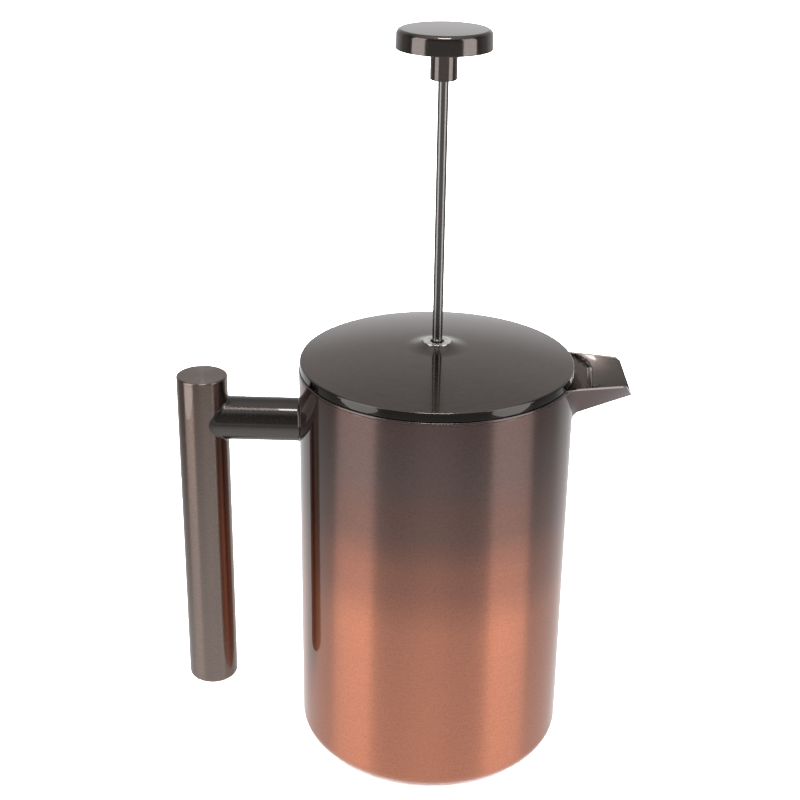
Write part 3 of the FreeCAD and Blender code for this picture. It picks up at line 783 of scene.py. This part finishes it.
def inner_line(index):
    """One line along the spout's inner face, from the vessel's bore to the lip."""
    root = [
        inside_wall(index, SPOUT_INNER_ROUND, SPOUT_SHEET - THROAT_SUNK, BORE_R + gap)
        for gap in (HAIR, 2 * HAIR)
    ]
    line = spout_line(index, SPOUT_SHEET, SPOUT_INNER_ROUND, BORE_R + 3 * HAIR, 0.0, THROAT_SUNK)
    lowered = []
    for place in root + line:
        top = RIM_TOP - HAIR * (place.x < BODY_R - 1)
        lowered.append(Vector((place.x, place.y, min(place.z, top))))
    return lowered


# The spout's finishes, in their order on its mesh. The trough's and the throat's carry painted shade, and the
# edge's is a painted highlight.
OUTSIDE, TROUGH, EDGE, THROAT = range(4)


def spout_finish(place, normal):
    """Which finish a face of the spout has. The pale edge finish, a painted highlight, is on the sheet's top
    and the throat's step.
    """
    on_top = normal.z > 0.9 and place.z > RIM_TOP - 0.2
    faces_up = normal.z > 0.1
    blend = throat_share(place)
    low_enough = place.z < RIM_TOP - SPOUT_TIP_DEPTH * THROAT_SHARE
    if on_top:
        return EDGE
    if not faces_up:
        return OUTSIDE
    if blend < 0.02:
        return TROUGH
    if blend < 0.98 and low_enough:
        return EDGE
    return THROAT


def make_spout():
    """A folded trough of sheet with a wider throat and a blend where it is welded to the vessel."""
    count = len(spout_path(SPOUT_TIP_X, 0, SPOUT_KEEL_ROUND))
    lines = [outer_line(i) for i in range(count)]
    lines += [inner_line(i) for i in reversed(range(count))]
    bm = bmesh.new()
    rings = [[bm.verts.new(place) for place in line] for line in lines]
    stitch(bm, rings, around=False, along=True)
    for end in (0, -1):
        for i in range(count - 1):
            bm.faces.new([rings[i][end], rings[i + 1][end], rings[-2 - i][end], rings[-1 - i][end]])
    bmesh.ops.remove_doubles(bm, verts=bm.verts, dist=MERGE)
    piece = add_piece(
        bm, "spout_trough", "vessel", SPOUT_OUTSIDE, ("spout",), weighted=False
    )
    for material in (TROUGH_SHADE_FINISH, PAINTED_HIGHLIGHT_FINISH, THROAT_SHADE_FINISH):
        piece.data.materials.append(material)
    for face in piece.data.polygons:
        face.material_index = spout_finish(face.center / MM, face.normal)
    # The bevel rounds the sharp edges and gives them the edge finish, a painted highlight.
    edge = piece.modifiers.new("rounded_edges", "BEVEL")
    edge.width = SPOUT_BEVEL * MM
    edge.segments = 3
    edge.limit_method = "ANGLE"
    edge.angle_limit = math.radians(SPOUT_BEVEL_ANGLE)
    edge.material = EDGE
    weigh_normals(piece)


# ------------------------ handle


def make_arm():
    """The level tube, with a fine weld bead at each end."""
    weld = 0.9
    steps = 6
    rows = []

    def vessel_end(radius, y):
        return -math.sqrt(radius ** 2 - y ** 2)

    def grip_end(radius, y):
        return GRIP_X + math.sqrt(radius ** 2 - y ** 2)

    for i in range(steps + 1):
        angle = math.pi / 2 * (1 - i / steps)
        rows.append((grip_end, GRIP_R - HAIR * (i == 0), weld, angle, ARM_R))
    for i in range(steps + 1):
        angle = math.pi / 2 * i / steps
        rows.append((vessel_end, BODY_R - HAIR * (i == steps), weld, angle, ARM_R))
    rows.append((vessel_end, BODY_R - HAIR, 0.0, math.pi / 2, ARM_R - WALL))
    rows.append((grip_end, GRIP_R - HAIR, 0.0, math.pi / 2, ARM_R - WALL))
    bm = bmesh.new()
    rings = []
    for end, wall_r, bead, angle, tube_r in rows:
        ring = []
        radius = tube_r + bead * (1 - math.cos(angle))
        for i in range(SMALL_RING):
            turn = 2 * math.pi * i / SMALL_RING
            y = radius * math.cos(turn)
            x = end(wall_r + bead * (1 - math.sin(angle)), y)
            ring.append(bm.verts.new((x, y, ARM_Z + radius * math.sin(turn))))
        rings.append(ring)
    stitch(bm, rings, around=True, along=True)
    add_piece(bm, "handle_arm_tube", "vessel", ARM_SHADED_FINISH, ("handle_arm",))


def make_grip():
    """The upright tube with its top cap and its foot. One rounding runs over the foot and the tube's end."""
    low, high = GRIP_LOW.z, GRIP_HIGH.z
    inside = GRIP_R - WALL
    under = FOOT_ROUND - low + GRIP_FOOT
    seam = (GRIP_R - FOOT_ROUND + math.sqrt(FOOT_ROUND ** 2 - under ** 2), low)
    tube = [Vector((inside, low)), Vector(seam)]
    tube += bow(seam, (GRIP_R, GRIP_FOOT + FOOT_ROUND), -FOOT_ROUND, steps=6)
    tube += [Vector((GRIP_R, high)), Vector((inside, high))]
    top = rounded(
        [(0, high, 0), (GRIP_R, high, HAIR), (GRIP_R, GRIP_TOP, GRIP_TOP_ROUND), (0, GRIP_TOP, 0)]
    )
    foot = [Vector((0, GRIP_FOOT)), Vector((GRIP_R - FOOT_ROUND, GRIP_FOOT))]
    foot += bow(foot[-1], seam, -FOOT_ROUND, steps=6)
    foot += [Vector((0, low))]
    for outline, name, replaced in (
        (tube, "handle_grip_tube", "handle_grip"),
        (top, "handle_grip_top", "handle_top_cap"),
        (foot, "handle_grip_foot", "handle_bottom_cap"),
    ):
        bm = lathe(outline, SMALL_RING, GRIP_X)
        add_piece(bm, name, "vessel", GRIP_LIT_FINISH, (replaced,))


# ------------------------ lid


def make_lid():
    """The side band, the shallow dome and the boss round the rod, in one sheet."""
    dome_edge = LID_R - BAND_EDGE
    centre = BAND_TOP - math.sqrt(DOME_RADIUS ** 2 - dome_edge ** 2)
    boss_low = centre + math.sqrt(DOME_RADIUS ** 2 - BOSS_BASE ** 2)
    inner_dome = DOME_RADIUS - WALL
    band_inside = LID_R - WALL
    corner = centre + math.sqrt(inner_dome ** 2 - band_inside ** 2)
    hub = centre + math.sqrt(inner_dome ** 2 - GUIDE_HOLE_R ** 2)
    outline = rounded(
        [(band_inside, LID_LOW, 0), (LID_R, LID_LOW, LID_LIP_ROUND), (LID_R, BAND_TOP - BAND_EDGE, 0)]
    )[1:]
    outline += bow((LID_R, BAND_TOP - BAND_EDGE), (dome_edge, BAND_TOP), -BAND_EDGE, steps=8)
    outline += bow((dome_edge, BAND_TOP), (BOSS_BASE, boss_low), -DOME_RADIUS, steps=24)
    outline += bow((BOSS_BASE, boss_low), (BOSS_TOP, BOSS_HIGH), BOSS_FLARE, steps=10)
    outline += [Vector((GUIDE_HOLE_R, BOSS_HIGH)), Vector((GUIDE_HOLE_R, hub))]
    outline += bow((GUIDE_HOLE_R, hub), (band_inside, corner), inner_dome, steps=16)
    outline += [Vector((band_inside, LID_LOW))]
    add_piece(lathe(outline, BIG_RING), "lid_dome", "lid", LID_FINISH, ("lid_top",))


def make_guide():
    """The flanged bush in the lid's boss, with a fine groove round its top and a wide mouth for the rod."""
    bore = 2.06
    mouth = 2.75
    mouth_deep = 2.5
    mouth_round = 0.35
    flange = GUIDE_HIGH.x
    flange_thick = 0.45
    flange_round = 0.18
    groove = 4.1
    groove_half = 0.3
    groove_deep = 0.14
    groove_round = 0.08
    top = GUIDE_HIGH.z
    under = top - flange_thick
    step = top - mouth_deep
    outline = rounded(
        [
            (bore, GUIDE_LOW.z, 0),
            (GUIDE_SHANK_R, GUIDE_LOW.z, SHEET_ROUND),
            (GUIDE_SHANK_R, under, 0),
            (flange, under, 0),
            (flange, top, flange_round),
            (groove + groove_half, top, groove_round),
            (groove, top - groove_deep, groove_round),
            (groove - groove_half, top, groove_round),
            (mouth, top, mouth_round),
            (mouth, step, 0),
            (bore, step - (mouth - bore), 0),
        ]
    )
    add_piece(
        lathe(outline, SMALL_RING), "guide_bush", "rod_guide", RING_STEEL, ("rod_guide",)
    )


# ------------------------ plunger


def make_rod():
    foot_round = 0.4
    outline = rounded(
        [(0, ROD_LOW.z, 0), (ROD_R, ROD_LOW.z, foot_round), (ROD_R, ROD_HIGH.z, 0), (0, ROD_HIGH.z, 0)]
    )
    bm = lathe(outline, SMALL_RING)
    add_piece(bm, "plunger_shaft", "plunger", BRIGHT_STEEL, ("plunger_rod",))


def make_knob_cap():
    """The knob's hollow top, slightly tapered and very slightly crowned."""
    low, high = KNOB_LOW.z, KNOB_HIGH.z
    shoulder = high - KNOB_ROUND
    crown_edge = high - KNOB_CROWN
    crown_r = KNOB_TOP_R - KNOB_ROUND
    crown_radius = crown_r ** 2 / (2 * KNOB_CROWN)
    outline = rounded(
        [(KNOB_FOOT_R - WALL, low, 0), (KNOB_FOOT_R, low, SHEET_ROUND), (KNOB_TOP_R, shoulder, 0)]
    )[1:]
    outline += bow((KNOB_TOP_R, shoulder), (crown_r, crown_edge), -KNOB_ROUND, steps=12)
    outline += bow((crown_r, crown_edge), (0, high), -crown_radius, steps=12)
    outline += [Vector((0, high - WALL)), Vector((crown_r, crown_edge - WALL))]
    outline += [Vector((KNOB_TOP_R - WALL, shoulder)), Vector((KNOB_FOOT_R - WALL, low))]
    add_piece(lathe(outline, BIG_RING), "knob_dome", "plunger", KNOB_FINISH, ("knob_cap",))


def make_knob_collar():
    """The neck between the rod and the knob, with a spigot that passes through the knob's underside."""
    low = KNOB_LOW.z
    socket_top = ROD_HIGH.z
    bore_round = 0.15
    foot_round = 0.45
    top_round = 0.12
    outline = rounded(
        [
            (ROD_R + HAIR, COLLAR_LOW.z, bore_round),
            (COLLAR_R, COLLAR_LOW.z, foot_round),
            (COLLAR_R, low, top_round),
            (SPIGOT_R, low, 0),
            (SPIGOT_R, low + WALL, 0),
            (0, low + WALL, 0),
            (0, socket_top, 0),
            (ROD_R + HAIR, socket_top, 0),
        ]
    )
    add_piece(
        lathe(outline, SMALL_RING), "knob_neck", "plunger", KNOB_FINISH, ("knob_collar",)
    )


def make_knob_base():
    """The disc that closes the knob from below."""
    low = KNOB_LOW.z
    gap = 0.1
    edge = KNOB_FOOT_R - WALL - gap
    edge_round = 0.2
    outline = rounded(
        [(SPIGOT_R, low, 0), (edge, low, edge_round), (edge, low + WALL, 0), (SPIGOT_R, low + WALL, 0)]
    )
    add_piece(
        lathe(outline, BIG_RING), "knob_underside", "plunger", KNOB_FINISH, ("knob_base",)
    )


def make_nut(name, body, replaced, bore):
    """A six-sided nut whose corners are turned down at 30 degrees."""
    low, high = box_mm(replaced)
    half_flats = high.y
    turned_r = half_flats * 1.02
    slope = math.tan(math.radians(30))

    def flats_at(angle):
        return half_flats / math.cos(angle % (math.pi / 3) - math.pi / 6)

    def hole(angle, z, inward):
        return bore, z

    def face(angle, z, inward):
        return min(flats_at(angle), turned_r), z

    def corner(angle, z, inward):
        past = max(flats_at(angle) - turned_r, 0)
        return flats_at(angle), z + inward * past * slope

    bm = bmesh.new()
    rings = []
    rows = [(hole, low.z, 1), (face, low.z, 1), (corner, low.z, 1)]
    rows += [(corner, high.z, -1), (face, high.z, -1), (hole, high.z, -1)]
    for shape, z, inward in rows:
        rings.append(turned_ring(bm, NUT_RING, lambda angle: shape(angle, z, inward)))
    stitch(bm, rings, around=True, along=True)
    bmesh.ops.remove_doubles(bm, verts=bm.verts, dist=MERGE)
    add_piece(bm, name, body, PLAIN_STEEL, (replaced,), crease=20)


def make_spring():
    """A close coil of wire bent into a ring."""
    wire_r = 0.42
    turns = 240
    steps = 14
    sides = 6
    coil_r = (SPRING_HIGH.z - SPRING_LOW.z) / 2
    centre_r = SPRING_HIGH.x - coil_r
    centre_z = (SPRING_HIGH.z + SPRING_LOW.z) / 2
    up = Vector((0, 0, 1))
    bm = bmesh.new()
    rings = []
    total = turns * steps
    for i in range(total):
        around = 2 * math.pi * i / total
        coil = 2 * math.pi * i / steps
        out = Vector((math.cos(around), math.sin(around), 0))
        ahead = Vector((-math.sin(around), math.cos(around), 0))
        spoke = out * math.cos(coil) + up * math.sin(coil)
        place = out * centre_r + up * centre_z + spoke * (coil_r - wire_r)
        ring = []
        for side in range(sides):
            angle = 2 * math.pi * side / sides
            across = spoke * math.cos(angle) + ahead * math.sin(angle)
            ring.append(bm.verts.new(place + across * wire_r))
        rings.append(ring)
    stitch(bm, rings, around=True, along=True)
    add_piece(
        bm,
        "coil_spring",
        "plunger",
        BRIGHT_STEEL,
        ("edge_spring",),
        crease=80,
        weighted=False,
    )


def ripple(angle, waves, depth):
    """How deep a wavy edge is pressed in at an angle."""
    return depth * (0.5 + 0.5 * math.cos(waves * angle))


def make_hub():
    """The round nut under the filter, with finger grooves."""
    low, high = HUB_LOW.z, HUB_HIGH.z
    radius = HUB_HIGH.x
    edge_round = 0.9
    top_round = 0.25
    socket_deep = 1
    grooves = 24
    groove_deep = 0.22
    steps = 8

    def groove(angle, at_radius):
        near_edge = max(0.0, (at_radius - radius + edge_round) / edge_round)
        return ripple(angle, grooves, groove_deep * near_edge)

    outline = rounded(
        [(0, low, 0), (radius, low, edge_round), (radius, high, top_round), (ROD_R, high, 0)]
    )
    outline += [Vector((ROD_R, high - socket_deep)), Vector((0, high - socket_deep))]
    bm = lathe(outline, grooves * steps, dent=groove)
    add_piece(bm, "filter_nut", "plunger", PLAIN_STEEL, ("filter_hub",), crease=50)


def make_screen(name, replaced):
    """A disc of wire cloth whose edge is lightly crimped."""
    low, high = box_mm(replaced)
    edge = high.x
    edge_round = 0.2
    waves = 90
    wave_deep = 0.25
    wave_wide = 1
    steps = 6

    def crimp(angle, at_radius):
        return ripple(angle, waves, wave_deep) if at_radius > edge - wave_wide else 0.0

    outline = rounded(
        [(ROD_R, low.z, 0), (edge, low.z, edge_round), (edge, high.z, edge_round), (ROD_R, high.z, 0)]
    )
    bm = lathe(outline, waves * steps, dent=crimp)
    add_piece(bm, name, "plunger", WOVEN, (replaced,), crease=50)


def dress_cad_nodes():
    """Finishes for the plain plates that stay as the frame has them."""
    finishes = {
        "base_plate": COPPER_FINISH,
        "lid_skirt": PLAIN_STEEL,
        "spiral_plate": PLAIN_STEEL,
        "cross_plate": PLAIN_STEEL,
    }
    for name, material in finishes.items():
        for cad_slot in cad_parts[name].material_slots:
            cad_slot.material = material


make_shell()
make_liner()
make_spout()
make_arm()
make_grip()
make_lid()
make_guide()
make_rod()
make_knob_cap()
make_knob_collar()
make_knob_base()
make_nut("guide_lock_nut", "rod_guide", "guide_nut", GUIDE_SHANK_R + NUT_PLAY)
make_nut("stop_lock_nut", "plunger", "stop_nut", ROD_R + NUT_PLAY)
make_spring()
make_hub()
make_screen("upper_screen", "mesh_screen_upper")
make_screen("lower_screen", "mesh_screen_lower")
dress_cad_nodes()


# ------------------------ studio

FLOOR_R = 4.0
FLOOR_DROP = -0.0002
BACKDROP_R = FLOOR_R * 1.5
BACKDROP_LEVEL = 1.1
GLOW_NEAR = 0.16
GLOW_FAR = 0.43
GLOW_LEVEL = 1.05

# The upright soft boxes, one on each side.
BOX_AZIMUTH = 62.0
BOX_DISTANCE = 0.40
BOX_WIDTH = 0.25
BOX_HEIGHT = 0.62
BOX_LIFT = 0.002
BOX_LEVEL = 2.2

# Grey levels of the room by direction. Depth runs from -1 behind the camera to 1 behind the object, and
# height from -1 straight down to 1 straight up.
ROOM_BY_DEPTH = [(-1, 0.62), (-0.72, 0.56), (-0.4, 0.18), (0.05, 0.24), (0.35, 0.30), (0.7, 0.8), (1, 0.95)]
ROOM_BY_HEIGHT = [(0.15, 1.0), (0.4, 0.75), (0.8, 0.55)]
OVERHEAD = [(0.55, 0.0), (0.85, 0.55), (1.0, 0.75)]
# The near half is dim but for a strip just under the horizon, which these two make when multiplied.
STRIP_FOOT = [(-0.42, 0.3), (-0.15, 1.0)]
STRIP_TOP = [(-0.25, 1.0), (-0.05, 0.3), (1.0, 0.3)]
FAR_HALF = [(-0.3, 0.0), (0.2, 1.0)]


def stage_piece(bm, name, material):
    """A piece of the studio, which isn't part of the object."""
    mesh = mesh_of(bm, name)
    mesh.materials.append(material)
    made = add_object(name, mesh)
    return made


def disc(radius):
    bm = bmesh.new()
    bm.faces.new(turned_ring(bm, BIG_RING, lambda angle: (radius, 0)))
    return bm


def bare_material(name):
    """A material with nothing in it but its output."""
    material = bpy.data.materials.new(name)
    material.use_nodes = True
    tree = material.node_tree
    tree.nodes.clear()
    output = node(tree, "OutputMaterial")
    return material, tree, output.inputs["Surface"]


def white_glow(tree, strength):
    glow = node(tree, "Emission")
    glow.inputs["Color"].default_value = (1.0, 1.0, 1.0, 1.0)
    glow.inputs["Strength"].default_value = strength
    return glow.outputs[0]


def make_floor():
    """The pale floor. The gloss shows the room and the lit table instead of it."""
    material, _, shader = new_material("floor_finish")
    shader.inputs["Base Color"].default_value = (0.93, 0.93, 0.93, 1.0)
    shader.inputs["Roughness"].default_value = 0.9
    shader.inputs["Specular IOR Level"].default_value = 0.0
    floor = stage_piece(disc(FLOOR_R), "floor", material)
    floor.location.z = FLOOR_DROP
    floor.visible_glossy = False


def make_backdrop():
    """A white dome that only the camera sees."""
    material, tree, surface = bare_material("backdrop_finish")
    tree.links.new(white_glow(tree, BACKDROP_LEVEL), surface)
    bm = bmesh.new()
    bmesh.ops.create_uvsphere(bm, u_segments=64, v_segments=32, radius=BACKDROP_R)
    dome = stage_piece(bm, "backdrop", material)
    dome.visible_diffuse = False
    dome.visible_glossy = False
    dome.visible_transmission = False
    dome.visible_shadow = False


def make_glow():
    """The lit table round the object, which only the gloss sees, fading outwards."""
    material, tree, surface = bare_material("table_glow_finish")
    place = node(tree, "TexCoord")
    reach = node(tree, "VectorMath", operation="LENGTH")
    tree.links.new(place.outputs["Object"], reach.inputs[0])
    share = spread(tree, reach.outputs["Value"], 1.0, 0.0, GLOW_NEAR, GLOW_FAR)
    clear = node(tree, "BsdfTransparent")
    mix = node(tree, "MixShader")
    tree.links.new(share, mix.inputs["Fac"])
    tree.links.new(clear.outputs[0], mix.inputs[1])
    tree.links.new(white_glow(tree, GLOW_LEVEL), mix.inputs[2])
    tree.links.new(mix.outputs[0], surface)
    card = stage_piece(disc(GLOW_FAR), "table_glow", material)
    card.location.z = 2 * FLOOR_DROP
    card.visible_camera = False
    card.visible_diffuse = False
    card.visible_shadow = False


def grey_ramp(tree, value, stops):
    """A grey level over a value from -1 to 1. stops are pairs of that value and the level."""
    share = spread(tree, value, 0.0, 1.0, -1.0, 1.0)
    return ramp(tree, share, [((at + 1) / 2, (level, level, level)) for at, level in stops], "EASE")


def make_world():
    """The room in the gloss: white behind the object, grey behind the camera and dark at the sides."""
    world = bpy.data.worlds.new("studio")
    bpy.context.scene.world = world
    world.use_nodes = True
    tree = world.node_tree
    place = node(tree, "TexCoord")
    split = node(tree, "SeparateXYZ")
    tree.links.new(place.outputs["Generated"], split.inputs[0])
    depth = split.outputs["Y"]
    height = split.outputs["Z"]
    room = math_node(
        tree, "MULTIPLY", grey_ramp(tree, depth, ROOM_BY_DEPTH), grey_ramp(tree, height, ROOM_BY_HEIGHT)
    )
    strip = math_node(
        tree, "MULTIPLY", grey_ramp(tree, height, STRIP_FOOT), grey_ramp(tree, height, STRIP_TOP)
    )
    dimmed = math_node(tree, "MAXIMUM", strip, grey_ramp(tree, depth, FAR_HALF))
    level = math_node(tree, "MULTIPLY", room, dimmed)
    level = math_node(tree, "MAXIMUM", level, grey_ramp(tree, height, OVERHEAD))
    tree.links.new(level, tree.nodes["Background"].inputs["Color"])


def soft_box(name, azimuth, elevation, distance, width, height, aim_z, luminance):
    """An area light aimed at the vessel's axis. Its azimuth is 0 in front and positive to the right."""
    light = bpy.data.lights.new(name, "AREA")
    light.shape = "RECTANGLE"
    light.size = width
    light.size_y = height
    light.energy = luminance * width * height * math.pi
    made = add_object(name, light)
    turn = math.radians(azimuth)
    rise = math.radians(elevation)
    back = Vector((math.sin(turn) * math.cos(rise), -math.cos(turn) * math.cos(rise), math.sin(rise)))
    made.location = Vector((0, 0, aim_z)) + back * distance
    made.rotation_mode = "QUATERNION"
    made.rotation_quaternion = back.to_track_quat("Z", "Y")
    made.visible_camera = False


def make_side_boxes():
    middle = BOX_LIFT + BOX_HEIGHT / 2
    for side, name in ((-1, "left_soft_box"), (1, "right_soft_box")):
        soft_box(name, side * BOX_AZIMUTH, 0, BOX_DISTANCE, BOX_WIDTH, BOX_HEIGHT, middle, BOX_LEVEL)


def make_top_box():
    """A small soft box high in front."""
    soft_box(
        "top_soft_box",
        azimuth=0,
        elevation=73,
        distance=1.3,
        width=0.4,
        height=0.2,
        aim_z=0.1,
        luminance=15.0,
    )


def make_floor_fill():
    """An even, very soft light from above that whitens the floor and leaves no mark in the gloss."""
    light = bpy.data.lights.new("floor_fill", "SUN")
    light.energy = 16.0
    light.angle = math.radians(120)
    made = add_object("floor_fill", light)
    made.visible_glossy = False
    made.visible_camera = False


make_floor()
make_backdrop()
make_world()
make_side_boxes()
make_top_box()
make_glow()
make_floor_fill()


# ------------------------ camera

# The camera looks at the target from the front, a little to one side and above. Angles are in degrees.
CAMERA_TARGET = Vector((-14.18, 0.0, 147.50)) * MM
CAMERA_DISTANCE = 597.57 * MM
CAMERA_AZIMUTH = -1.782
CAMERA_DOWN = 23.476
CAMERA_ROLL = 0.801
CAMERA_LENS = 67.851
SENSOR_WIDTH = 36.0


def make_camera():
    azimuth = math.radians(CAMERA_AZIMUTH)
    down = math.radians(CAMERA_DOWN)
    roll = math.radians(CAMERA_ROLL)
    ahead = Vector((math.sin(azimuth) * math.cos(down), math.cos(azimuth) * math.cos(down), -math.sin(down)))
    level = Vector((math.cos(azimuth), -math.sin(azimuth), 0))
    upright = level.cross(ahead)
    right = level * math.cos(roll) + upright * math.sin(roll)
    up = upright * math.cos(roll) - level * math.sin(roll)
    data = bpy.data.cameras.new("camera")
    data.lens = CAMERA_LENS
    data.sensor_width = SENSOR_WIDTH
    camera = add_object("camera", data)
    rotation = Matrix((right, up, -ahead)).transposed().to_4x4()
    camera.matrix_world = Matrix.Translation(CAMERA_TARGET - ahead * CAMERA_DISTANCE) @ rotation
    bpy.context.scene.camera = camera


make_camera()
bpy.context.scene.view_settings.view_transform = "Standard"
